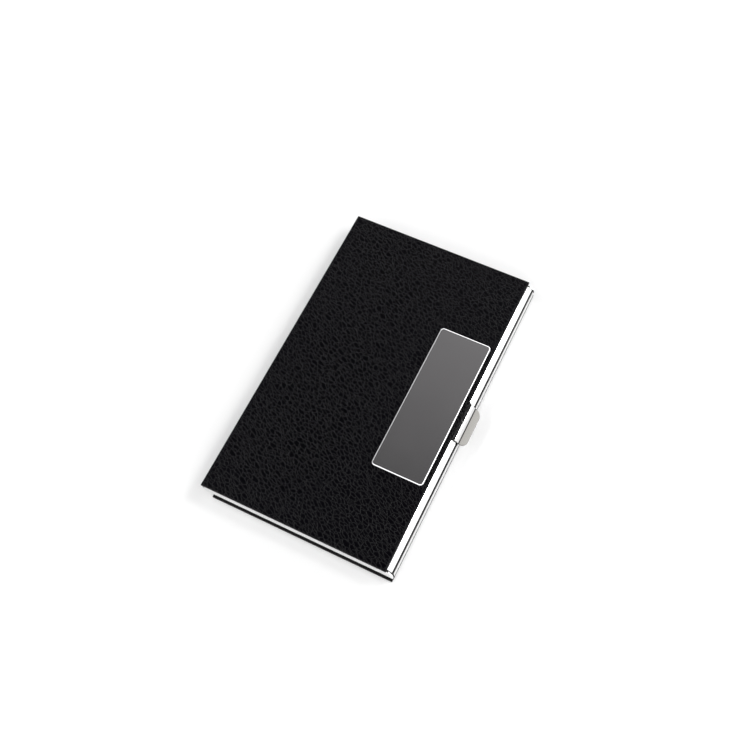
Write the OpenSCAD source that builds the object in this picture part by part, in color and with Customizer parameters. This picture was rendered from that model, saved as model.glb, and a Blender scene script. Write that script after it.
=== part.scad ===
// Slim pocket case for business cards: a pressed steel tray and lid on a piano hinge,
// each faced with a leather panel, with a blank engraving plate and a thumb clasp.
// +X runs along the hinge, the clasp faces -Y, +Z is up, and the case lies on Z = 0.
// Front-to-back sizes are measured as a reach from the lid panel's rear edge towards the clasp.

/* [Leather panels] */
// Length of the lid's leather panel
panel_length = 95; // [92:0.5:100]
// Front-to-back size of the lid's leather panel
panel_depth = 55.8; // [55:0.1:58]
// Thickness of each leather panel
leather_t = 0.9; // [0.6:0.1:1.2]
// Thickness of the glue sheet under each panel
glue_t = 0.1; // [0.05:0.05:0.15]
// Length that the base panel adds at each end
base_extra = 0.2; // [0:0.1:0.4]
// Reach of the base panel's rear edge
base_rear = 2.45; // [2.3:0.05:3]

/* [Steel shells] */
// Sheet thickness of the lid and the tray
sheet_t = 0.4; // [0.3:0.05:0.4]
// Height of the closed metal case, without the panels
metal_h = 5.35; // [5.2:0.05:6]
// How far the leather overhangs the lid plate at each end
end_overhang = 0.35; // [0.3:0.05:0.5]
// Radius of the front wall's outward bulge
front_bulge_r = 6.5; // [6:0.5:9]
// Radius of the short walls' outward bulge
end_bulge_r = 8; // [7:0.5:12]
// Gap between the front wall's ends and the short walls
corner_gap = 0.15; // [0.1:0.05:0.2]

/* [Hinge] */
// Outer radius of the rolled knuckles
knuckle_r = 1.2; // [1.15:0.05:1.25]
// Radius of the hinge pin
pin_r = 0.75; // [0.6:0.05:0.8]
// Running clearance of the lid's knuckles on the pin
pin_play = 0.05; // [0.02:0.01:0.08]
// Number of knuckles, lid and tray in turn
knuckles = 7; // [5:2:11]

/* [Name plate] */
// Length of the engraving plate
plate_length = 45.8; // [40:0.2:60]
// Front-to-back size of the engraving plate
plate_depth = 15.35; // [10:0.05:20]
// Thickness of the engraving plate
plate_t = 0.3; // [0.2:0.05:0.5]
// Corner radius of the engraving plate
plate_corner = 1; // [0.5:0.1:2]
// Distance from the lid panel's front edge to the plate
plate_margin = 1.35; // [1:0.05:4]
// Shift of the plate along the lid, from its middle
plate_shift = 0.35; // [-1:0.05:1]

/* [Clasp] */
// Length of the clasp along the lid's edge
clasp_length = 11.6; // [9:0.1:14]
// Shift of the clasp along the lid, from its middle
clasp_shift = -0.6; // [-1:0.05:1]
// Sheet thickness of the clasp
clasp_t = 0.3; // [0.25:0.05:0.3]
// Radius of the clasp's shoulder
shoulder_r = 1.2; // [1:0.1:1.4]
// Angle below level at which the shoulder meets the lip
shoulder_angle = 60; // [50:1:65]
// Angle below level of the thumb lip
lip_angle = 33; // [25:1:40]
// Length of the thumb lip
lip_length = 2.35; // [2:0.05:3]

/* [Card spring] */
// Width of the leaf that lifts the cards
leaf_width = 14; // [10:1:18]
// Length of the leaf from its foot
leaf_length = 32; // [24:1:36]
// Angle at which the empty leaf stands
leaf_angle = 4.5; // [3:0.5:5]
// Thickness of the leaf
leaf_t = 0.25; // [0.2:0.05:0.3]

/* [Hidden] */
$fn = 96;

steel = [0.82, 0.82, 0.83];
leather_black = [0.07, 0.07, 0.08];
glue_tan = [0.62, 0.56, 0.45];
plate_grey = [0.40, 0.40, 0.41];

// Heights of the layers above the table
tray_z = leather_t + glue_t;
floor_z = tray_z + sheet_t;
lid_top = tray_z + metal_h;
lid_under = lid_top - sheet_t;
lid_panel_z = lid_top + glue_t;
panel_top = lid_panel_z + leather_t;
plate_z = panel_top + glue_t;

// The hinge: its pin lies inside the rear bottom edge
rear_wall_out = 0.2;
axis_reach = knuckle_r - rear_wall_out;
axis_z = tray_z + knuckle_r;
turn_gap = 0.1;

// The lid's front rim rounds down to the seam over the tray's front wall
rim_r = 3;
rim_drop = 1.2;
rim_centre = panel_depth - 1;
rim_reach = rim_centre + sqrt(pow(rim_r, 2) - pow(rim_r - rim_drop, 2));
seam_z = lid_top - rim_drop;
rim_lap = 0.2;
seam_gap = 0.3;
wall_top = seam_z - seam_gap;

// Centre of the front wall's bulge, and the furthest reach of its outer face
bulge_reach = panel_depth + 1.94;
front_centre = bulge_reach - front_bulge_r;
front_centre_z = tray_z + 2.1;
front_bottom = front_centre
    + sqrt(pow(front_bulge_r, 2) - pow(front_centre_z - tray_z, 2));

// Short walls: the crest of the bulge, and where the walls stop under the lid
end_crest = panel_length / 2 - 0.05;
end_wall_top = lid_under - 0.15;
end_centre_z = tray_z + 2.45;
end_bottom = end_crest - end_bulge_r
    + sqrt(pow(end_bulge_r, 2) - pow(end_centre_z - tray_z, 2));
end_inner = end_crest - end_bulge_r - sheet_t
    + sqrt(pow(end_bulge_r, 2) - pow(end_centre_z - end_wall_top, 2));
// The floor ends inside the thickness of the walls around it
floor_lap = 0.1;
// The base panel reaches a little past the foot of the front wall
base_front = 0.1;
nose_reach = 0.35;
nose_r = 2;
tip_r = 1;

// The front wall and the rim fit between the short walls
front_half = end_inner - corner_gap;
plate_half = panel_length / 2 - end_overhang;

// Knuckles share the length between the short walls
hinge_half = end_inner - 0.1;
knuckle_gap = 0.12;
knuckle_pitch = (2 * hinge_half + knuckle_gap) / knuckles;
knuckle_length = knuckle_pitch - knuckle_gap;

// Clasp: its root lies under the leather, and its shoulder turns down past the rim
clasp_tail = 6.4;
root_end = panel_depth + 0.35;
clasp_top = lid_top + clasp_t;
flex_gap = 0.05;
shoulder_drop = 1.04;
crease_lap = 0.08;
leather_bulge = 0.8;
leather_bulge_half = 6.4;
window_half = clasp_length / 2 + 0.5;
rivet_r = 0.7;
rivet_pitch = 6;

// Card spring: a foot, and a leaf that hinges at its root
foot_start = 5;
foot_length = 7;
leaf_root = foot_start + foot_length;
foot_z = floor_z;
leaf_axis_z = foot_z + leaf_t / 2;
toe_r = 3;
toe_angle = 25;

// Where the clasp's fall ends in a crease, and how far its lip reaches
crease_reach = root_end + shoulder_r * sin(shoulder_angle)
    + shoulder_drop * cos(shoulder_angle);
crease_z = clasp_top - shoulder_r + shoulder_r * cos(shoulder_angle)
    - shoulder_drop * sin(shoulder_angle);
lip_front = crease_reach + lip_length * cos(lip_angle)
    + (1 - sin(lip_angle)) * clasp_t / 2;

// Half of the depth over the rear wall and the lip, which centres the case on Y = 0
rear_y = (lip_front - rear_wall_out) / 2;

// Reach r and height z, turned into the case's own Y and Z, and swept along X.
module along_x(length, shift = 0)
    translate([shift - length / 2, rear_y, 0])
        rotate([90, 0, 90]) mirror([1, 0, 0])
            linear_extrude(length) children();

// A flat slab from its half length, its reach from r0 to r1, and its heights.
module slab(half, r0, r1, z0, z1)
    translate([-half, rear_y - r1, z0]) cube([2 * half, r1 - r0, z1 - z0]);

// A ring's slice, between two angles measured from the +reach direction.
module arc_band(r_out, r_in, from, to) {
    far = 2 * r_out;
    intersection() {
        difference() {
            circle(r_out);
            circle(r_in);
        }
        polygon([
            [0, 0], far * [cos(from), sin(from)],
            far * [cos((from + to) / 2), sin((from + to) / 2)], far * [cos(to), sin(to)]
        ]);
    }
}

module rounded_plate(length, depth, thick, r) {
    linear_extrude(thick) {
        square([length - 2 * r, depth], center = true);
        square([length, depth - 2 * r], center = true);
        for (x = [-1, 1], y = [-1, 1])
            translate([x * (length / 2 - r), y * (depth / 2 - r)]) circle(r);
    }
}

// Knuckle number i counts from -X; the lid holds the even ones.
function knuckle_x(i) = -hinge_half + knuckle_length / 2 + i * knuckle_pitch;
lid_knuckles = [for (i = [0 : 2 : knuckles - 1]) knuckle_x(i)];
tray_knuckles = [for (i = [1 : 2 : knuckles - 2]) knuckle_x(i)];

module front_wall() {
    along_x(2 * front_half) intersection() {
        translate([front_centre, front_centre_z]) difference() {
            circle(front_bulge_r);
            circle(front_bulge_r - sheet_t);
        }
        translate([front_centre + front_bulge_r / 2, tray_z])
            square([front_bulge_r, wall_top - tray_z]);
    }
}

// Side view of a short wall: round nose at the hinge, sloped and rounded at the clasp.
module end_outline() {
    difference() {
        intersection() {
            translate([nose_reach, tray_z])
                square([bulge_reach - nose_reach, end_wall_top - tray_z]);
            union() {
                translate([front_centre, front_centre_z]) circle(front_bulge_r);
                translate([nose_reach, tray_z])
                    square([front_centre - nose_reach, metal_h]);
            }
        }
        translate([nose_reach, tray_z]) difference() {
            square(nose_r);
            translate([nose_r, nose_r]) circle(nose_r);
        }
        translate([front_bottom - tip_r, tray_z]) difference() {
            square(tip_r + 1);
            translate([0, tip_r]) circle(tip_r + 0.1);
        }
        polygon([
            [panel_depth, lid_top - 0.15], [rim_reach + 0.5, lid_top - 0.15],
            [rim_reach + 0.5, seam_z - 0.5], [rim_reach, seam_z - 0.15]
        ]);
    }
}

module end_wall(side) {
    intersection() {
        along_x(2 * end_crest + 2) end_outline();
        translate([side * (end_crest - end_bulge_r), 0, end_centre_z])
            rotate([90, 0, 0]) difference() {
                cylinder(r = end_bulge_r, h = 3 * panel_depth, center = true);
                cylinder(r = end_bulge_r - sheet_t, h = 4 * panel_depth, center = true);
            }
        translate([side * end_crest, 0, 0])
            cube([3, 3 * panel_depth, 3 * metal_h], center = true);
    }
}

module tray_shell() {
    color(steel) difference() {
        union() {
            slab(end_bottom - floor_lap, base_rear - 0.1, front_bottom - floor_lap,
                tray_z, floor_z);
            for (x = tray_knuckles)
                along_x(knuckle_length, x) {
                    translate([axis_reach, axis_z]) circle(knuckle_r);
                    translate([axis_reach, tray_z])
                        square([base_rear - axis_reach, sheet_t]);
                }
            front_wall();
            for (side = [-1, 1]) end_wall(side);
        }
        hinge_bore(pin_r);
        clasp_notch(panel_depth, wall_top - 0.35);
    }
}

// A clearance cut behind the clasp, from a reach and a height outwards.
module clasp_notch(reach, z)
    translate([clasp_shift - window_half, rear_y - reach - 3, z])
        cube([2 * window_half, 3, metal_h]);

module hinge_bore(r)
    translate([0, rear_y - axis_reach, axis_z]) rotate([0, 90, 0])
        cylinder(r = r, h = 2 * hinge_half + 1, center = true);

module hinge_pin() {
    color(steel) translate([0, rear_y - axis_reach, axis_z]) rotate([0, 90, 0])
        cylinder(r = pin_r, h = 2 * hinge_half, center = true);
}

// Side view of the lid: rear wall, rounded rear edge and plate.
module lid_side() {
    round_r = 0.6;
    translate([-rear_wall_out, axis_z + knuckle_r + turn_gap])
        square([sheet_t, lid_top - axis_z - knuckle_r - turn_gap - round_r]);
    translate([round_r - rear_wall_out, lid_top - round_r])
        arc_band(round_r, round_r - sheet_t, 90, 180);
    translate([round_r - rear_wall_out, lid_under])
        square([rim_centre - rim_lap / 2 - round_r + rear_wall_out, sheet_t]);
}

// Side view of the front rim: a short lap on the plate, and a round fall to the seam.
module lid_rim()
    translate([rim_centre, lid_top - rim_r]) {
        translate([-rim_lap, rim_r - sheet_t]) square([rim_lap, sheet_t]);
        intersection() {
            difference() {
                circle(rim_r);
                circle(rim_r - sheet_t);
            }
            translate([0, rim_r - rim_drop]) square(rim_r);
        }
    }

module lid_knuckle()
    difference() {
        union() {
            translate([axis_reach, axis_z]) circle(knuckle_r);
            translate([-rear_wall_out, axis_z])
                square([sheet_t, knuckle_r + turn_gap + 0.2]);
        }
        translate([axis_reach, axis_z]) circle(pin_r + pin_play);
    }

module lid_shell() {
    color(steel) difference() {
        union() {
            along_x(2 * plate_half) lid_side();
            along_x(2 * front_half) lid_rim();
            for (x = lid_knuckles) along_x(knuckle_length, x) lid_knuckle();
        }
        clasp_notch(panel_depth + 0.7, 0);
        clasp_rivet_holes(rivet_r);
    }
}

module base_glue_sheet() {
    color(glue_tan) slab(plate_half - 0.4, base_rear + 0.3, front_bottom - 0.3,
        leather_t, tray_z);
}

module base_leather() {
    color(leather_black) slab(panel_length / 2 + base_extra, base_rear,
        front_bottom + base_front, 0, leather_t);
}

// Room for the clasp's root, pressed into the underside of the lid panel.
module clasp_pocket()
    translate([clasp_shift - clasp_length / 2 - 0.2, rear_y - panel_depth - 3, lid_top - 1])
        cube([clasp_length + 0.4, clasp_tail + 3.2, 1 + clasp_t + 0.03]);

module lid_glue_sheet() {
    color(glue_tan) difference() {
        slab(plate_half - 0.3, 0.3, rim_centre, lid_top, lid_panel_z);
        clasp_pocket();
    }
}

// The panel swells forwards over the clasp, and its swelling slopes down.
module leather_swelling() {
    half = leather_bulge_half;
    translate([clasp_shift, rear_y - panel_depth, 0])
        intersection() {
            translate([0, 0, lid_panel_z]) linear_extrude(leather_t)
                polygon([
                    [-half, 0.5], [-half, 0], [-half + 0.9, -leather_bulge],
                    [half - 0.9, -leather_bulge], [half, 0], [half, 0.5]
                ]);
            rotate([90, 0, 90]) translate([0, 0, -half]) linear_extrude(2 * half)
                polygon([
                    [0.5, lid_top], [0.5, panel_top], [0, panel_top],
                    [-leather_bulge, panel_top - 0.35], [-leather_bulge, lid_top]
                ]);
        }
}

module lid_leather() {
    color(leather_black) difference() {
        union() {
            slab(panel_length / 2, 0, panel_depth, lid_panel_z, panel_top);
            leather_swelling();
        }
        clasp_pocket();
        along_x(clasp_length + 0.4, clasp_shift)
            translate([root_end, clasp_top - shoulder_r]) circle(shoulder_r + 0.06);
    }
}

plate_centre = panel_depth - plate_margin - plate_depth / 2;

module nameplate_tape() {
    color(glue_tan) translate([plate_shift, rear_y - plate_centre, panel_top])
        rounded_plate(plate_length - 1, plate_depth - 1, glue_t, plate_corner);
}

module nameplate() {
    color(plate_grey) translate([plate_shift, rear_y - plate_centre, plate_z])
        rounded_plate(plate_length, plate_depth, plate_t, plate_corner);
}

module clasp_rivet_holes(r)
    for (x = [-1, 1])
        translate([clasp_shift + x * rivet_pitch / 2,
            rear_y - panel_depth + clasp_tail / 2, lid_under - 1])
            cylinder(r = r, h = 4);

module clasp_root() {
    color(steel) difference() {
        along_x(clasp_length, clasp_shift)
            translate([panel_depth - clasp_tail, lid_top])
                square([root_end - flex_gap - panel_depth + clasp_tail, clasp_t]);
        clasp_rivet_holes(rivet_r);
    }
}

// Flush rivets fill the holes in the lid plate and the clasp's root.
module clasp_rivets() {
    color(steel) intersection() {
        clasp_rivet_holes(rivet_r);
        translate([0, 0, lid_under + (sheet_t + clasp_t) / 2])
            cube([panel_length, 2 * panel_depth, sheet_t + clasp_t], center = true);
    }
}

// Side view of the clasp: round shoulder, short fall, crease and flared lip.
module clasp_side() {
    translate([root_end, clasp_top - shoulder_r])
        arc_band(shoulder_r, shoulder_r - clasp_t, 90 - shoulder_angle, 90);
    translate([crease_reach, crease_z]) rotate(-shoulder_angle)
        translate([-shoulder_drop, -clasp_t]) square([shoulder_drop, clasp_t]);
    translate([crease_reach, crease_z]) rotate(-lip_angle) {
        translate([-crease_lap, -clasp_t]) square([lip_length + crease_lap, clasp_t]);
        translate([lip_length, -clasp_t / 2]) circle(clasp_t / 2);
    }
}

module clasp() {
    lip_corner = 2;
    half = clasp_length / 2;
    color(steel) intersection() {
        along_x(clasp_length, clasp_shift) clasp_side();
        translate([clasp_shift, rear_y - panel_depth, 0]) linear_extrude(20)
            difference() {
                translate([-half, -6]) square([2 * half, 12]);
                for (side = [-1, 1]) lip_corner_cut(side, half, lip_corner);
            }
    }
}

// Rounds one outer corner of the thumb lip.
module lip_corner_cut(side, half, r)
    translate([side * (half - r), r - lip_front + panel_depth]) difference() {
        translate([side, -1] * (r + 1) / 2) square(r + 1, center = true);
        circle(r);
    }

module spring_rivet_holes(r)
    for (x = [-1, 1])
        translate([x * leaf_width / 4, rear_y - foot_start - foot_length / 2, tray_z - 1])
            cylinder(r = r, h = 4);

module card_spring_foot() {
    color(steel) difference() {
        slab(leaf_width / 2, foot_start, leaf_root - flex_gap, foot_z, foot_z + leaf_t);
        spring_rivet_holes(rivet_r);
    }
}

// Low domed heads that stand on the tray's floor, through the foot.
module spring_rivets() {
    head_r = 1.3;
    head_h = 0.45;
    dome_r = (head_r * head_r + head_h * head_h) / (2 * head_h);
    color(steel) for (x = [-1, 1])
        translate([x * leaf_width / 4, rear_y - foot_start - foot_length / 2, floor_z]) {
            cylinder(r = rivet_r, h = leaf_t);
            translate([0, 0, leaf_t]) intersection() {
                translate([0, 0, head_h - dome_r]) sphere(dome_r);
                cylinder(r = head_r, h = 2 * head_h);
            }
        }
}

// The leaf climbs from its root and its toe curls down, so that cards slide over it.
module card_spring() {
    color(steel) along_x(leaf_width)
        translate([leaf_root, leaf_axis_z]) rotate(leaf_angle) {
            translate([0, -leaf_t / 2]) square([leaf_length, leaf_t]);
            translate([leaf_length, leaf_t / 2 - toe_r])
                arc_band(toe_r, toe_r - leaf_t, 90 - toe_angle, 90);
        }
}

tray_shell();
base_glue_sheet();
base_leather();
hinge_pin();
card_spring_foot();
spring_rivets();
card_spring();
lid_shell();
lid_glue_sheet();
lid_leather();
nameplate_tape();
nameplate();
clasp_root();
clasp_rivets();
clasp();
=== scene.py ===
# %% [markdown]
# # A slim business card case
#
# The case is a sandwich: two pressed steel shells on a piano hinge, with a leather panel
# glued to the outside of each. The engineering model already holds every piece at its real
# size, so this lesson loads it as a fixed frame, finishes the metal, and models anew the
# pieces whose look depends on more than a plain solid: the leather, the name plate and the
# free end of the clasp.

# %% Load the frame
import math

import bmesh
import bpy
from mathutils import Matrix, Quaternion, Vector, noise


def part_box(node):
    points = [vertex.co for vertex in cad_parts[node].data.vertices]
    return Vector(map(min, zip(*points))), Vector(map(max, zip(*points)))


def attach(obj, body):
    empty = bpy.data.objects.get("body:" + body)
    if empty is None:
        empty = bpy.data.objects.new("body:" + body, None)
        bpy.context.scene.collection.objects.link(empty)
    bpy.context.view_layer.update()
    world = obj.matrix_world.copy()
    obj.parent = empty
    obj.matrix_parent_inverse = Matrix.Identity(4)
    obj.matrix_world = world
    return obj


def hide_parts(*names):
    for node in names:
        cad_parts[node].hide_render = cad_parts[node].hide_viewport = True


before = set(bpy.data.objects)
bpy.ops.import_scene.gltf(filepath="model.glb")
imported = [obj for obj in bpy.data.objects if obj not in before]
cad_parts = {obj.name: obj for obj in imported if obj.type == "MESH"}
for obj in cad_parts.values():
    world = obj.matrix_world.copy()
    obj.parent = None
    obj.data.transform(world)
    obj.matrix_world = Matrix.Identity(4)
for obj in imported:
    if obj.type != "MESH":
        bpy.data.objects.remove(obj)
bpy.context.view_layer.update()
MM = 0.001

# %% [markdown]
# ## Camera and table
#
# The camera looks down on the lid from the near left corner, with a little roll, through a
# normal lens. It aims at a point on the lid's leather, close to the middle. The
# table is a plain pale sheet, large enough to fill the view and its reflections.

# %% Camera
lid_low, lid_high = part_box("lid_leather")
AIM = Vector((1.8 * MM, 1.46 * MM, lid_high.z))
AZIMUTH = math.radians(-57.06)
ELEVATION = math.radians(64.43)
ROLL = math.radians(-7.24)
DISTANCE = 0.3018

towards_camera = Vector((
    math.sin(AZIMUTH) * math.cos(ELEVATION),
    -math.cos(AZIMUTH) * math.cos(ELEVATION),
    math.sin(ELEVATION),
))
camera_data = bpy.data.cameras.new("camera")
camera_data.lens = 51.52
camera_data.sensor_width = 36
camera_data.clip_start = 0.01
camera = bpy.data.objects.new("camera", camera_data)
camera.location = AIM + towards_camera * DISTANCE
camera.rotation_mode = "QUATERNION"
camera.rotation_quaternion = (
    (-towards_camera).to_track_quat("-Z", "Y") @ Quaternion((0, 0, 1), ROLL)
)
bpy.context.scene.collection.objects.link(camera)
bpy.context.scene.camera = camera
bpy.context.scene.view_settings.view_transform = "Standard"
print("camera at", [round(v, 3) for v in camera.location])

# %% [markdown]
# ## Shader shorthand
#
# A material is a small graph of nodes. Three helpers keep the graphs short: one starts a
# material with its principled shader, one adds a node with its settings, and one joins an
# output to an input. Constants go straight onto the shader's own sockets.


# %% Shader helpers
def new_material(name, colour, metallic=0.0, roughness=0.5):
    material = bpy.data.materials.new(name)
    material.use_nodes = True
    material.diffuse_color = (*colour, 1)
    shader = material.node_tree.nodes["Principled BSDF"]
    shader.inputs["Base Color"].default_value = (*colour, 1)
    shader.inputs["Metallic"].default_value = metallic
    shader.inputs["Roughness"].default_value = roughness
    return material, shader


def add_node(material, kind, settings=None, **values):
    made = material.node_tree.nodes.new(kind)
    for key, value in (settings or {}).items():
        setattr(made, key, value)
    for key, value in values.items():
        made.inputs[key.replace("_", " ")].default_value = value
    return made


def join(material, output, socket):
    material.node_tree.links.new(output, socket)


def object_pattern(material, cell, turn=0.0):
    """Object coordinates turned about Z, then counted in cells of a size in metres."""
    where = add_node(material, "ShaderNodeTexCoord")
    mapping = add_node(material, "ShaderNodeMapping", {"vector_type": "TEXTURE"})
    mapping.inputs["Scale"].default_value = cell
    mapping.inputs["Rotation"].default_value = (0, 0, turn)
    join(material, where.outputs["Object"], mapping.inputs["Vector"])
    return mapping.outputs["Vector"]


def ramp(material, source, stops):
    """A colour ramp with a stop for each position, grey by one value or coloured by three."""
    made = add_node(material, "ShaderNodeValToRGB")
    made.color_ramp.elements[0].position = stops[0][0]
    made.color_ramp.elements[1].position = stops[-1][0]
    for position, _ in stops[1:-1]:
        made.color_ramp.elements.new(position)
    for element, (_, value) in zip(made.color_ramp.elements, stops):
        element.color = (*value, 1) if isinstance(value, tuple) else (value, value, value, 1)
    join(material, source, made.inputs["Fac"])
    return made.outputs["Color"]


# %% [markdown]
# ## Table and light
#
# Polished metal shows whatever surrounds it, so the room does the lighting. It is bright all
# round, with one dark patch overhead, where a mirror lying flat would look back from the
# camera. It keeps the leather black and the plate grey, while the sloping rims stay white.
# A faint glow beyond the far end lightens the plate towards that end. Two softboxes, one in
# front and one behind the hinge, draw the grain of the leather.


# %% Table
def make_table():
    mesh = bpy.data.meshes.new("table_top")
    bm = bmesh.new()
    bmesh.ops.create_grid(bm, x_segments=1, y_segments=1, size=3)
    bm.to_mesh(mesh)
    bm.free()
    table = bpy.data.objects.new("table_top", mesh)
    bpy.context.scene.collection.objects.link(table)
    material, _ = new_material("table_paper", (0.92, 0.92, 0.92), roughness=0.9)
    mesh.materials.append(material)
    return table


table_top = make_table()
print("table:", table_top.name)


# %% Room light
MIRRORED = Vector((0.35, 0.35, 1)).normalized()


def make_room():
    world = bpy.data.worlds.new("studio")
    world.use_nodes = True
    bpy.context.scene.world = world
    background = world.node_tree.nodes["Background"]
    where = add_node(world, "ShaderNodeTexCoord")
    spin = add_node(world, "ShaderNodeVectorMath", {"operation": "DOT_PRODUCT"})
    spin.inputs[1].default_value = MIRRORED
    join(world, where.outputs["Generated"], spin.inputs[0])
    black_card = ramp(world, spin.outputs["Value"], ((0.64, 1.0), (0.74, 0.12), (0.81, 0.0)))
    axes = add_node(world, "ShaderNodeSeparateXYZ")
    join(world, where.outputs["Generated"], axes.inputs["Vector"])
    glow = ramp(world, axes.outputs["X"], ((0.21, 0.0), (0.60, 0.22)))
    both = add_node(world, "ShaderNodeMix", {"data_type": "RGBA", "blend_type": "ADD"})
    both.inputs["Factor"].default_value = 1
    join(world, black_card, both.inputs["A"])
    join(world, glow, both.inputs["B"])
    join(world, both.outputs["Result"], background.inputs["Color"])
    background.inputs["Strength"].default_value = 1.6
    return world


def softbox(name, place, size, power, aim=(0, 0, 0)):
    data = bpy.data.lights.new(name, "AREA")
    data.shape = "RECTANGLE"
    data.size, data.size_y = size
    data.energy = power
    lamp = bpy.data.objects.new(name, data)
    lamp.location = place
    lamp.rotation_mode = "QUATERNION"
    lamp.rotation_quaternion = (Vector(aim) - Vector(place)).to_track_quat("-Z", "Y")
    lamp.visible_camera = False
    bpy.context.scene.collection.objects.link(lamp)
    return lamp


make_room()
softbox("front_softbox", (0.25, -0.35, 0.55), (0.20, 0.14), 0.95)
softbox("hinge_softbox", (-0.07, 0.37, 0.47), (0.13, 0.10), 0.50)

# %% [markdown]
# ## Metal finishes
#
# The shells are polished stainless steel: nearly a mirror, but real sheet is never quite
# flat or clean, so a soft wide ripple bends its reflections and a fine haze varies its
# roughness. The cut edges and the brink of the seam are given a dull roughness, the cut
# steel's own, and a near-black tone that is painted shade, standing in for the shadow in
# the seam. They could be painted by hand, but the material can find them by itself, from the
# place and from the way the surface faces. The springs and the pin are left
# satin, with grain along their length.


# %% Polished steel
def mix_tones(material, share, tone, other):
    """The first tone where share is 0, and a plain grey where it is 1."""
    mixed = add_node(material, "ShaderNodeMix", {"data_type": "RGBA"})
    mixed.inputs["B"].default_value = (other, other, other, 1)
    join(material, share, mixed.inputs["Factor"])
    join(material, tone, mixed.inputs["A"])
    return mixed.outputs["Result"]


def polished_steel(name, edges_and_seam_shade=None):
    """Polished sheet; the optional mask function picks out the cut edges and the seam, which
    take a dull roughness, the cut steel's own, and a near-black tone that is painted shade.
    """
    material, shader = new_material(name, (0.80, 0.80, 0.81), 1.0, 0.12)
    where = object_pattern(material, (1, 1, 1))
    haze = add_node(material, "ShaderNodeTexNoise", Scale=160, Detail=4)
    join(material, where, haze.inputs["Vector"])
    rough = ramp(material, haze.outputs["Fac"], ((0.3, 0.07), (0.7, 0.15)))
    tone = ramp(material, haze.outputs["Fac"], ((0.3, 0.78), (0.7, 0.82)))
    if edges_and_seam_shade:
        cut_edges_and_shade = edges_and_seam_shade(material)
        # The dull roughness is the cut steel's own; the near-black tone below is painted shade
        # in the seam.
        rough = mix_tones(material, cut_edges_and_shade, rough, 0.5)
        tone = mix_tones(material, cut_edges_and_shade, tone, 0.07)
    join(material, rough, shader.inputs["Roughness"])
    join(material, tone, shader.inputs["Base Color"])
    ripple = add_node(material, "ShaderNodeTexNoise", Scale=45, Detail=1)
    join(material, where, ripple.inputs["Vector"])
    bump = add_node(material, "ShaderNodeBump", Strength=0.25, Distance=0.0003)
    join(material, ripple.outputs["Fac"], bump.inputs["Height"])
    join(material, bump.outputs["Normal"], shader.inputs["Normal"])
    return material


# %% [markdown]
# ### Cut edges and painted seam shade
#
# A mask for a material is a sum of yes-or-no questions about a place: how far along it lies,
# how high, and which way it faces. Each question is one Math node, and each shell asks its own.


# %% Cut edges and painted seam shade
def combine(material, operation, first, second):
    """One Math node; second is an output or a number."""
    made = add_node(material, "ShaderNodeMath", {"operation": operation})
    join(material, first, made.inputs[0])
    if isinstance(second, (int, float)):
        made.inputs[1].default_value = second
    else:
        join(material, second, made.inputs[1])
    return made.outputs["Value"]


def place_and_facing(material):
    """X, Y and Z of the place, then X, Y and Z of the way the surface faces."""
    where = add_node(material, "ShaderNodeTexCoord")
    outputs = []
    for name in ("Object", "Normal"):
        axes = add_node(material, "ShaderNodeSeparateXYZ")
        join(material, where.outputs[name], axes.inputs["Vector"])
        outputs += [axes.outputs[axis] for axis in "XYZ"]
    return outputs


def faces_along_x(material, facing_x):
    sideways = combine(material, "ABSOLUTE", facing_x, 0)
    return combine(material, "GREATER_THAN", sideways, 0.98)


def lid_cut_edges_and_seam_shade(material):
    """The cut ends of the lid, and the lip of its rim along the seam; the near-black tone on
    them is painted shade.
    """
    _, y, z, facing_x, _, _ = place_and_facing(material)
    front = combine(material, "LESS_THAN", y, lid_low.y)
    under = combine(material, "LESS_THAN", z, SEAM_SHADE_TOP)
    lip = combine(material, "MULTIPLY", front, under)
    return combine(material, "MAXIMUM", faces_along_x(material, facing_x), lip)


def tray_cut_edges_and_seam_shade(material):
    """The tops of the walls, the ends of the front wall between the short walls, and the brink
    of the seam on the front wall; the near-black tone on them is painted shade.
    """
    x, y, z, facing_x, _, facing_z = place_and_facing(material)
    inner = combine(material, "LESS_THAN", combine(material, "ABSOLUTE", x, 0), FRONT_WALL_HALF)
    ends = combine(material, "MULTIPLY", faces_along_x(material, facing_x), inner)
    upward = combine(material, "GREATER_THAN", facing_z, 0.98)
    high = combine(material, "GREATER_THAN", z, WALL_FOOT)
    tops = combine(material, "MULTIPLY", upward, high)
    front = combine(material, "LESS_THAN", y, lid_low.y)
    brink = combine(material, "GREATER_THAN", z, SEAM_SHADE_FOOT)
    lip = combine(material, "MULTIPLY", combine(material, "MULTIPLY", front, brink), inner)
    return combine(material, "MAXIMUM", combine(material, "MAXIMUM", ends, tops), lip)


END_WALL_DEPTH = 0.9 * MM
FLOOR_CURVE = 2 * MM
RIM_DROP = 1.2 * MM
SEAM_GAP = 0.3 * MM
# How far the band of painted shade reaches above and below the seam gap.
SEAM_SHADE_ABOVE = 0.12 * MM
SEAM_SHADE_BELOW = 0.2 * MM
tray_low, tray_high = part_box("tray_shell")
FRONT_WALL_HALF = tray_high.x - END_WALL_DEPTH
WALL_FOOT = tray_low.z + FLOOR_CURVE
LID_RIM_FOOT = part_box("lid_glue_sheet")[0].z - RIM_DROP
# Top and foot of the band of painted shade round the seam.
SEAM_SHADE_TOP = LID_RIM_FOOT + SEAM_SHADE_ABOVE
SEAM_SHADE_FOOT = LID_RIM_FOOT - SEAM_GAP - SEAM_SHADE_BELOW
print("seam between", round(SEAM_SHADE_FOOT / MM, 2), "and", round(SEAM_SHADE_TOP / MM, 2), "mm")


# %% [markdown]
# ### Satin steel and adhesive
#
# The springs, rivets and pin keep the drawn finish of their strip and wire, a noise stretched
# along the length. The adhesive sheets are a tan film with a faint mottle, seen only edge on.


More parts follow.
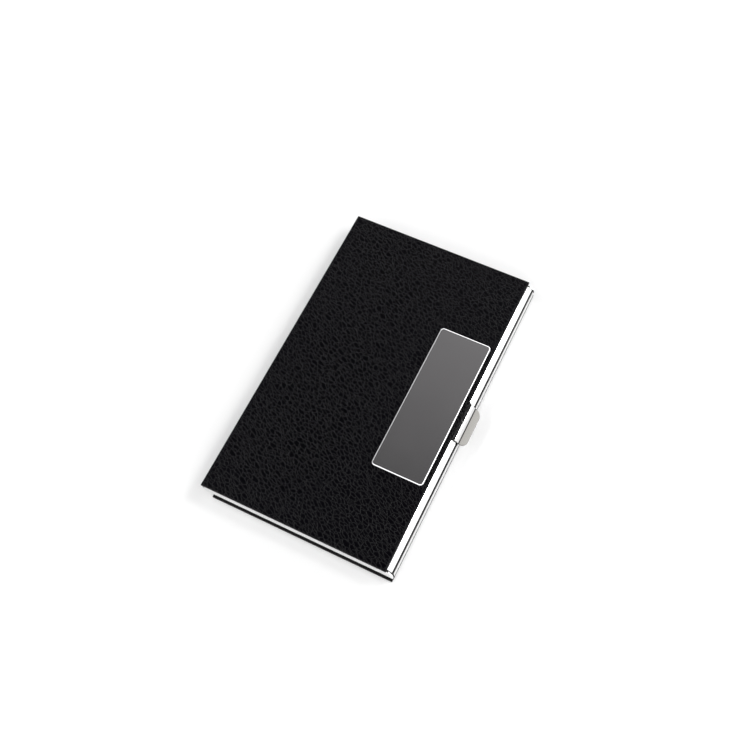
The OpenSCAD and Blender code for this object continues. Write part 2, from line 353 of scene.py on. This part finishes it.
# %% Satin steel and adhesive
def satin_steel():
    material, shader = new_material("satin_steel", (0.62, 0.62, 0.63), 1.0, 0.32)
    where = object_pattern(material, (33 * MM, 1.1 * MM, 1.1 * MM))
    grain = add_node(material, "ShaderNodeTexNoise", Scale=3, Detail=5)
    join(material, where, grain.inputs["Vector"])
    rough = ramp(material, grain.outputs["Fac"], ((0.3, 0.24), (0.7, 0.42)))
    join(material, rough, shader.inputs["Roughness"])
    bump = add_node(material, "ShaderNodeBump", Strength=0.3, Distance=0.00003)
    join(material, grain.outputs["Fac"], bump.inputs["Height"])
    join(material, bump.outputs["Normal"], shader.inputs["Normal"])
    return material


def adhesive():
    material, shader = new_material("adhesive", (0.50, 0.42, 0.30), 0.0, 0.6)
    where = object_pattern(material, (1, 1, 1))
    mottle = add_node(material, "ShaderNodeTexNoise", Scale=700, Detail=3)
    join(material, where, mottle.inputs["Vector"])
    tone = ramp(material, mottle.outputs["Fac"],
                ((0.3, (0.42, 0.34, 0.22)), (0.7, (0.55, 0.46, 0.32))))
    join(material, tone, shader.inputs["Base Color"])
    return material


def finish_node(name, material):
    """Gives a CAD node one finish in place of its plain one."""
    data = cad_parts[name].data
    data.materials.clear()
    data.materials.append(material)


TRAY_STEEL = polished_steel("tray_steel", tray_cut_edges_and_seam_shade)
LID_STEEL = polished_steel("lid_steel", lid_cut_edges_and_seam_shade)
SATIN = satin_steel()
ADHESIVE = adhesive()
finish_node("tray_shell", TRAY_STEEL)
for name in ("lid_shell", "clasp_root"):
    finish_node(name, LID_STEEL)
for name in ("hinge_pin", "card_spring", "card_spring_foot", "spring_rivets", "clasp_rivets"):
    finish_node(name, SATIN)
for name in ("lid_glue_sheet", "base_glue_sheet", "nameplate_tape"):
    finish_node(name, ADHESIVE)
print("metal finishes:", TRAY_STEEL.name, LID_STEEL.name, SATIN.name)

# %% [markdown]
# ## Leather
#
# The panels are coated leather with a pebbled grain: low pads, about twice as long as wide,
# parted by fine creases. The mesh carries pads as low relief. The material adds sharper
# creases and the finest wrinkles as bump, in cells of the same size and lie as the mesh's,
# though not cell for cell: the two noises are different ones. Round the outline
# the leather is skived, that is pared thin with a slanted knife, and its cut edge is matt.

# %% Leather finish
GRAIN_TURN = math.radians(-28)
PAD = (0.85 * MM, 1.75 * MM)


def leather():
    material, shader = new_material("black_leather", (0.0012, 0.0010, 0.0019), 0.0, 0.30)
    shader.inputs["Specular IOR Level"].default_value = 0.14
    where = object_pattern(material, (*PAD, MM), GRAIN_TURN)
    wander = add_node(material, "ShaderNodeTexNoise", Scale=0.9, Detail=2)
    join(material, where, wander.inputs["Vector"])
    shift = add_node(material, "ShaderNodeVectorMath", {"operation": "MULTIPLY_ADD"})
    shift.inputs[1].default_value = (1.2, 1.2, 1.2)
    join(material, wander.outputs["Color"], shift.inputs[0])
    join(material, where, shift.inputs[2])
    pads = add_node(
        material, "ShaderNodeTexVoronoi", {"feature": "DISTANCE_TO_EDGE"}, Scale=1.0
    )
    join(material, shift.outputs["Vector"], pads.inputs["Vector"])
    fine = add_node(
        material, "ShaderNodeTexVoronoi", {"feature": "DISTANCE_TO_EDGE"}, Scale=2.7
    )
    join(material, shift.outputs["Vector"], fine.inputs["Vector"])
    creases = ramp(material, pads.outputs["Distance"], ((0.0, 0.0), (0.10, 0.8), (0.22, 1.0)))
    wrinkles = ramp(material, fine.outputs["Distance"], ((0.0, 0.0), (0.25, 1.0)))
    deep = add_node(material, "ShaderNodeBump", Strength=1.0, Distance=0.00007)
    join(material, creases, deep.inputs["Height"])
    shallow = add_node(material, "ShaderNodeBump", Strength=0.25, Distance=0.00004)
    join(material, wrinkles, shallow.inputs["Height"])
    join(material, deep.outputs["Normal"], shallow.inputs["Normal"])
    join(material, shallow.outputs["Normal"], shader.inputs["Normal"])
    rough = ramp(material, pads.outputs["Distance"], ((0.0, 0.28), (0.3, 0.22)))
    join(material, rough, shader.inputs["Roughness"])
    return material


def cut_leather():
    material, shader = new_material("cut_leather_edge", (0.004, 0.004, 0.0045), 0.0, 0.7)
    shader.inputs["Specular IOR Level"].default_value = 0.15
    where = object_pattern(material, (1, 1, 0.17))
    fibre = add_node(material, "ShaderNodeTexNoise", Scale=2500, Detail=3)
    join(material, where, fibre.inputs["Vector"])
    tone = ramp(material, fibre.outputs["Fac"], ((0.35, 0.002), (0.75, 0.007)))
    join(material, tone, shader.inputs["Base Color"])
    bump = add_node(material, "ShaderNodeBump", Strength=0.25, Distance=0.00005)
    join(material, fibre.outputs["Fac"], bump.inputs["Height"])
    join(material, bump.outputs["Normal"], shader.inputs["Normal"])
    return material


LEATHER = leather()
LEATHER_EDGE = cut_leather()
print("leather finishes:", LEATHER.name, LEATHER_EDGE.name)


# %% Leather panels
SKIVE = 0.32 * MM
SKIVE_SLANT = math.radians(24)
GRAIN_FADE = 0.4 * MM
GRAIN_RELIEF = 0.02 * MM
GRAIN_WANDER = 0.5
CREASE_STEEPNESS = 2.2
PANEL_STEP = 0.26 * MM


def grain_height(x, y):
    """Relief of the grain at a place in metres, from 0 in a crease to 1 on a pad."""
    turned = Matrix.Rotation(-GRAIN_TURN, 2) @ Vector((x, y))
    at = Vector((turned.x / PAD[0], turned.y / PAD[1], 0))
    at += GRAIN_WANDER * Vector(noise.noise_vector(at * 0.9))
    distances, _ = noise.voronoi(at, distance_metric="DISTANCE", exponent=1)
    return min((distances[1] - distances[0]) * CREASE_STEEPNESS, 1.0)


def panel_grid(bm, low, high, step):
    """A flat grid over the panel, at the height of its face."""
    size = high - low
    centre = Vector(((low.x + high.x) / 2, (low.y + high.y) / 2, high.z))
    bmesh.ops.create_grid(
        bm,
        x_segments=round(size.x / step),
        y_segments=round(size.y / step),
        size=0.5,
        matrix=Matrix.Translation(centre) @ Matrix.Diagonal((size.x, size.y, 1, 1)),
    )


def edge_drop(distance):
    """How far the edge, pared thin with a slanted knife, has fallen inside the outline."""
    return max(SKIVE - distance, 0.0) * math.tan(SKIVE_SLANT)


def leather_panel(name, low, high, step, relief, swelling=None, facing=1):
    """A grained panel with a skived edge, grown from its outer face."""
    bm = bmesh.new()
    panel_grid(bm, low, high, step)
    outline = [edge for edge in bm.edges if edge.is_boundary]
    for vertex in bm.verts:
        x, y = vertex.co.x, vertex.co.y
        inside = min(x - low.x, high.x - x, y - low.y, high.y - y)
        fade = min(inside / GRAIN_FADE, 1.0)
        vertex.co.z -= edge_drop(inside) + relief * fade * (1 - grain_height(x, y))
        if swelling:
            swelling(vertex.co)
    skirt = bmesh.ops.extrude_edge_only(bm, edges=outline)["geom"]
    lower = [item for item in skirt if isinstance(item, bmesh.types.BMVert)]
    rim = [item for item in skirt if isinstance(item, bmesh.types.BMEdge) and item.is_boundary]
    for vertex in lower:
        vertex.co.z = low.z
    for face in bm.faces:
        face.smooth = True
    for vertex in lower:
        for face in vertex.link_faces:
            face.material_index = 1
            face.smooth = False
    bmesh.ops.contextual_create(bm, geom=rim)
    for face in bm.faces:
        if len(face.verts) > 4:
            face.material_index = 1
    if facing < 0:
        middle = (low.z + high.z) / 2
        bmesh.ops.scale(bm, vec=(1, 1, -1), verts=bm.verts,
                        space=Matrix.Translation((0, 0, -middle)))
    bmesh.ops.recalc_face_normals(bm, faces=bm.faces)
    mesh = bpy.data.meshes.new(name)
    bm.to_mesh(mesh)
    bm.free()
    mesh.materials.append(LEATHER)
    mesh.materials.append(LEATHER_EDGE)
    panel = bpy.data.objects.new(name, mesh)
    bpy.context.scene.collection.objects.link(panel)
    return panel


clasp_low, clasp_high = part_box("clasp_root")
CLASP_X = (clasp_low.x + clasp_high.x) / 2
SWELLING_HALF = 6.4 * MM
SWELLING_OUT = 0.8 * MM
SWELLING_DROP = 0.35 * MM
SWELLING_REACH = 1.6 * MM
SWELLING_SIDE = 0.9 * MM
straight_front = lid_low.y + SWELLING_OUT


def swell_over_clasp(co):
    """Pushes the panel's front edge forwards and down where it covers the clasp's root."""
    near = 1 - (co.y - straight_front) / SWELLING_REACH
    side = (SWELLING_HALF - abs(co.x - CLASP_X)) / SWELLING_SIDE
    if near <= 0 or side <= 0:
        return
    side = min(side, 1.0)
    side = side * side * (3 - 2 * side)
    co.y -= SWELLING_OUT * near * side
    co.z -= SWELLING_DROP * near**2.5 * side


lid_panel = leather_panel(
    "lid_leather_panel",
    Vector((lid_low.x, straight_front, lid_low.z)),
    lid_high,
    PANEL_STEP,
    GRAIN_RELIEF,
    swell_over_clasp,
)
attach(lid_panel, "lid")
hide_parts("lid_leather")

base_low, base_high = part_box("base_leather")
base_panel = leather_panel("base_leather_panel", base_low, base_high, PANEL_STEP, GRAIN_RELIEF,
                           facing=-1)
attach(base_panel, "tray")
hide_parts("base_leather")
for panel in (lid_panel, base_panel):
    print(panel.name, len(panel.data.polygons), "faces")

# %% [markdown]
# ## Name plate
#
# The engraving plate is a thin satin sheet with rounded corners. Its top edge is cut at a
# slant by a diamond tool, and that narrow facet throws the bright line round the plate.


# %% Plate finish
def satin_plate():
    material, shader = new_material("satin_plate", (0.74, 0.72, 0.735), 1.0, 0.22)
    where = object_pattern(material, (1, 1, 1))
    frost = add_node(material, "ShaderNodeTexNoise", Scale=5200, Detail=2)
    join(material, where, frost.inputs["Vector"])
    handling = add_node(material, "ShaderNodeTexNoise", Scale=110, Detail=3)
    join(material, where, handling.inputs["Vector"])
    rough = ramp(material, handling.outputs["Fac"], ((0.3, 0.215), (0.7, 0.23)))
    join(material, rough, shader.inputs["Roughness"])
    bump = add_node(material, "ShaderNodeBump", Strength=0.3, Distance=0.000006)
    join(material, frost.outputs["Fac"], bump.inputs["Height"])
    join(material, bump.outputs["Normal"], shader.inputs["Normal"])
    return material


def cut_facet():
    material, shader = new_material("cut_facet", (0.85, 0.85, 0.86), 1.0, 0.15)
    where = object_pattern(material, (1, 1, 1))
    chatter = add_node(material, "ShaderNodeTexNoise", Scale=1800, Detail=1)
    join(material, where, chatter.inputs["Vector"])
    rough = ramp(material, chatter.outputs["Fac"], ((0.3, 0.12), (0.7, 0.22)))
    join(material, rough, shader.inputs["Roughness"])
    return material


PLATE = satin_plate()
FACET = cut_facet()


# %% Plate shape
FACET_SLANT = math.radians(27)
FACET_WIDTH = 0.25 * MM
PLATE_CORNER = 1.0 * MM


def name_plate(low, high, corner, facet):
    bm = bmesh.new()
    size = high - low
    centre = Vector(((low.x + high.x) / 2, (low.y + high.y) / 2, low.z))
    bmesh.ops.create_grid(
        bm,
        x_segments=1,
        y_segments=1,
        size=0.5,
        matrix=Matrix.Translation(centre) @ Matrix.Diagonal((size.x, size.y, 1, 1)),
    )
    bmesh.ops.bevel(bm, geom=bm.verts[:], offset=corner, segments=10, profile=0.5,
                    affect="VERTICES", material=-1)
    grown = bmesh.ops.extrude_face_region(bm, geom=bm.faces[:])["geom"]
    top = [item for item in grown if isinstance(item, bmesh.types.BMFace)]
    raised = [item for item in grown if isinstance(item, bmesh.types.BMVert)]
    bmesh.ops.translate(bm, vec=(0, 0, size.z), verts=raised)
    cut = bmesh.ops.inset_region(bm, faces=top, thickness=facet, use_even_offset=True)
    inner = {vertex for face in top for vertex in face.verts}
    outer = {vertex for face in cut["faces"] for vertex in face.verts} - inner
    bmesh.ops.translate(bm, vec=(0, 0, -facet * math.tan(FACET_SLANT)), verts=list(outer))
    for face in cut["faces"]:
        face.material_index = 1
    bmesh.ops.recalc_face_normals(bm, faces=bm.faces)
    mesh = bpy.data.meshes.new("name_plate")
    bm.to_mesh(mesh)
    bm.free()
    mesh.materials.append(PLATE)
    mesh.materials.append(FACET)
    plate = bpy.data.objects.new("name_plate", mesh)
    bpy.context.scene.collection.objects.link(plate)
    print("facet faces:", len(cut["faces"]))
    return plate


plate_low, plate_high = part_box("nameplate")
plate = name_plate(plate_low, plate_high, PLATE_CORNER, FACET_WIDTH)
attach(plate, "lid")
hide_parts("nameplate")

# %% [markdown]
# ## Clasp
#
# The clasp is a strip of spring steel, bent twice. The blank starts flat, as it does
# under the press, and each row of it then follows the bends: over the shoulder, down the
# fall, and out into the lip. It gets its thickness last, and its cut edges are eased. The
# near-black crease and the grey lip are painted shade, darker than bare steel would be. The
# cut edges are dark partly from their own dull finish and partly as painted shade.


# %% Clasp finishes
def clasp_shaded_steel():
    """Polished steel toned along the blank: painted shade makes the crease near black and the
    lip greyer; the lip is also duller.
    """
    material, shader = new_material("clasp_shaded_steel", (0.80, 0.80, 0.81), 1.0, 0.12)
    run = add_node(material, "ShaderNodeAttribute", {"attribute_name": "run"})
    # Painted shade: near black across the crease, grey over the lip.
    tone = ramp(material, run.outputs["Fac"],
                ((0.0, 0.80), (0.42, 0.78), (0.46, 0.02), (0.51, 0.02),
                 (0.55, (0.27, 0.263, 0.25)), (1.0, (0.30, 0.295, 0.28))))
    join(material, tone, shader.inputs["Base Color"])
    dull = ramp(material, run.outputs["Fac"], ((0.4, 0.12), (0.6, 0.24)))
    join(material, dull, shader.inputs["Roughness"])
    return material


def sheared_steel_and_shade():
    # Near-black tone: partly the torn edge's own dull finish, partly painted shade along the
    # clasp's outline.
    material, shader = new_material("sheared_edge_and_shade", (0.10, 0.10, 0.10), 1.0, 0.5)
    where = object_pattern(material, (1, 1, 1))
    tear = add_node(material, "ShaderNodeTexNoise", Scale=4000, Detail=2)
    join(material, where, tear.inputs["Vector"])
    tone = ramp(material, tear.outputs["Fac"], ((0.3, 0.05), (0.7, 0.16)))
    join(material, tone, shader.inputs["Base Color"])
    return material


CLASP_SHADED = clasp_shaded_steel()
SHEARED_AND_SHADE = sheared_steel_and_shade()


# %% Clasp bends
CLASP_T = 0.3 * MM
SHOULDER_R = 1.2 * MM
SHOULDER_TURN = math.radians(60)
FALL = 1.04 * MM
CREASE_R = 0.35 * MM
LIP_TURN = math.radians(33)
LIP = 2.45 * MM
LIP_CORNER = 2.0 * MM
EASED_EDGE = 0.05 * MM
BLANK_ROWS = 64

shoulder_run = SHOULDER_R * SHOULDER_TURN
crease_run = CREASE_R * (SHOULDER_TURN - LIP_TURN)
crease_at = shoulder_run + FALL
CLASP_RUN = crease_at + LIP


def clasp_heading(run):
    """Angle below level of the clasp, at a run along it from its root."""
    if run < shoulder_run:
        return SHOULDER_TURN * run / shoulder_run
    past = (run - crease_at) / crease_run + 0.5
    return SHOULDER_TURN - (SHOULDER_TURN - LIP_TURN) * min(max(past, 0.0), 1.0)


def clasp_rows(count):
    """Where each row of the blank comes to lie, as pairs of Y and Z from the root."""
    step = CLASP_RUN / count
    places = [Vector((0, 0))]
    for row in range(count):
        heading = clasp_heading((row + 0.5) * step)
        places.append(places[-1] + step * Vector((-math.cos(heading), -math.sin(heading))))
    return places


# %% Clasp shape
def bent_clasp(low, high):
    rows = BLANK_ROWS
    places = clasp_rows(rows)
    half = (high.x - low.x) / 2
    bm = bmesh.new()
    along = bm.verts.layers.float.new("run")
    bmesh.ops.create_grid(bm, x_segments=20, y_segments=rows, size=0.5)
    for vertex in bm.verts:
        row = round((vertex.co.y + 0.5) * rows)
        vertex[along] = row / rows
        left = CLASP_RUN * (1 - row / rows)
        width = half
        if left < LIP_CORNER:
            width -= LIP_CORNER - math.sqrt(LIP_CORNER**2 - (LIP_CORNER - left) ** 2)
        y, z = places[row]
        x = (low.x + high.x) / 2 + 2 * width * vertex.co.x
        vertex.co = (x, high.y + y, high.z + z)
    bmesh.ops.recalc_face_normals(bm, faces=bm.faces)
    if sum(face.normal.z for face in bm.faces) < 0:
        bmesh.ops.reverse_faces(bm, faces=bm.faces)
    bmesh.ops.solidify(bm, geom=bm.faces[:], thickness=CLASP_T)
    corners = [edge for edge in bm.edges if edge.calc_face_angle(0) > math.radians(50)]
    for face in {face for edge in corners for face in edge.link_faces}:
        if len([edge for edge in face.edges if edge in corners]) >= 2:
            face.material_index = 1
    bmesh.ops.bevel(bm, geom=corners, offset=EASED_EDGE, segments=2, profile=0.5,
                    affect="EDGES", clamp_overlap=True, material=1)
    bmesh.ops.recalc_face_normals(bm, faces=bm.faces)
    for face in bm.faces:
        face.smooth = True
    mesh = bpy.data.meshes.new("thumb_clasp")
    bm.to_mesh(mesh)
    bm.free()
    mesh.set_sharp_from_angle(angle=math.radians(40))
    mesh.materials.append(CLASP_SHADED)
    mesh.materials.append(SHEARED_AND_SHADE)
    clasp = bpy.data.objects.new("thumb_clasp", mesh)
    bpy.context.scene.collection.objects.link(clasp)
    return clasp


thumb_clasp = bent_clasp(*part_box("clasp"))
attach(thumb_clasp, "clasp")
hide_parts("clasp")
print("clasp faces:", len(thumb_clasp.data.polygons))
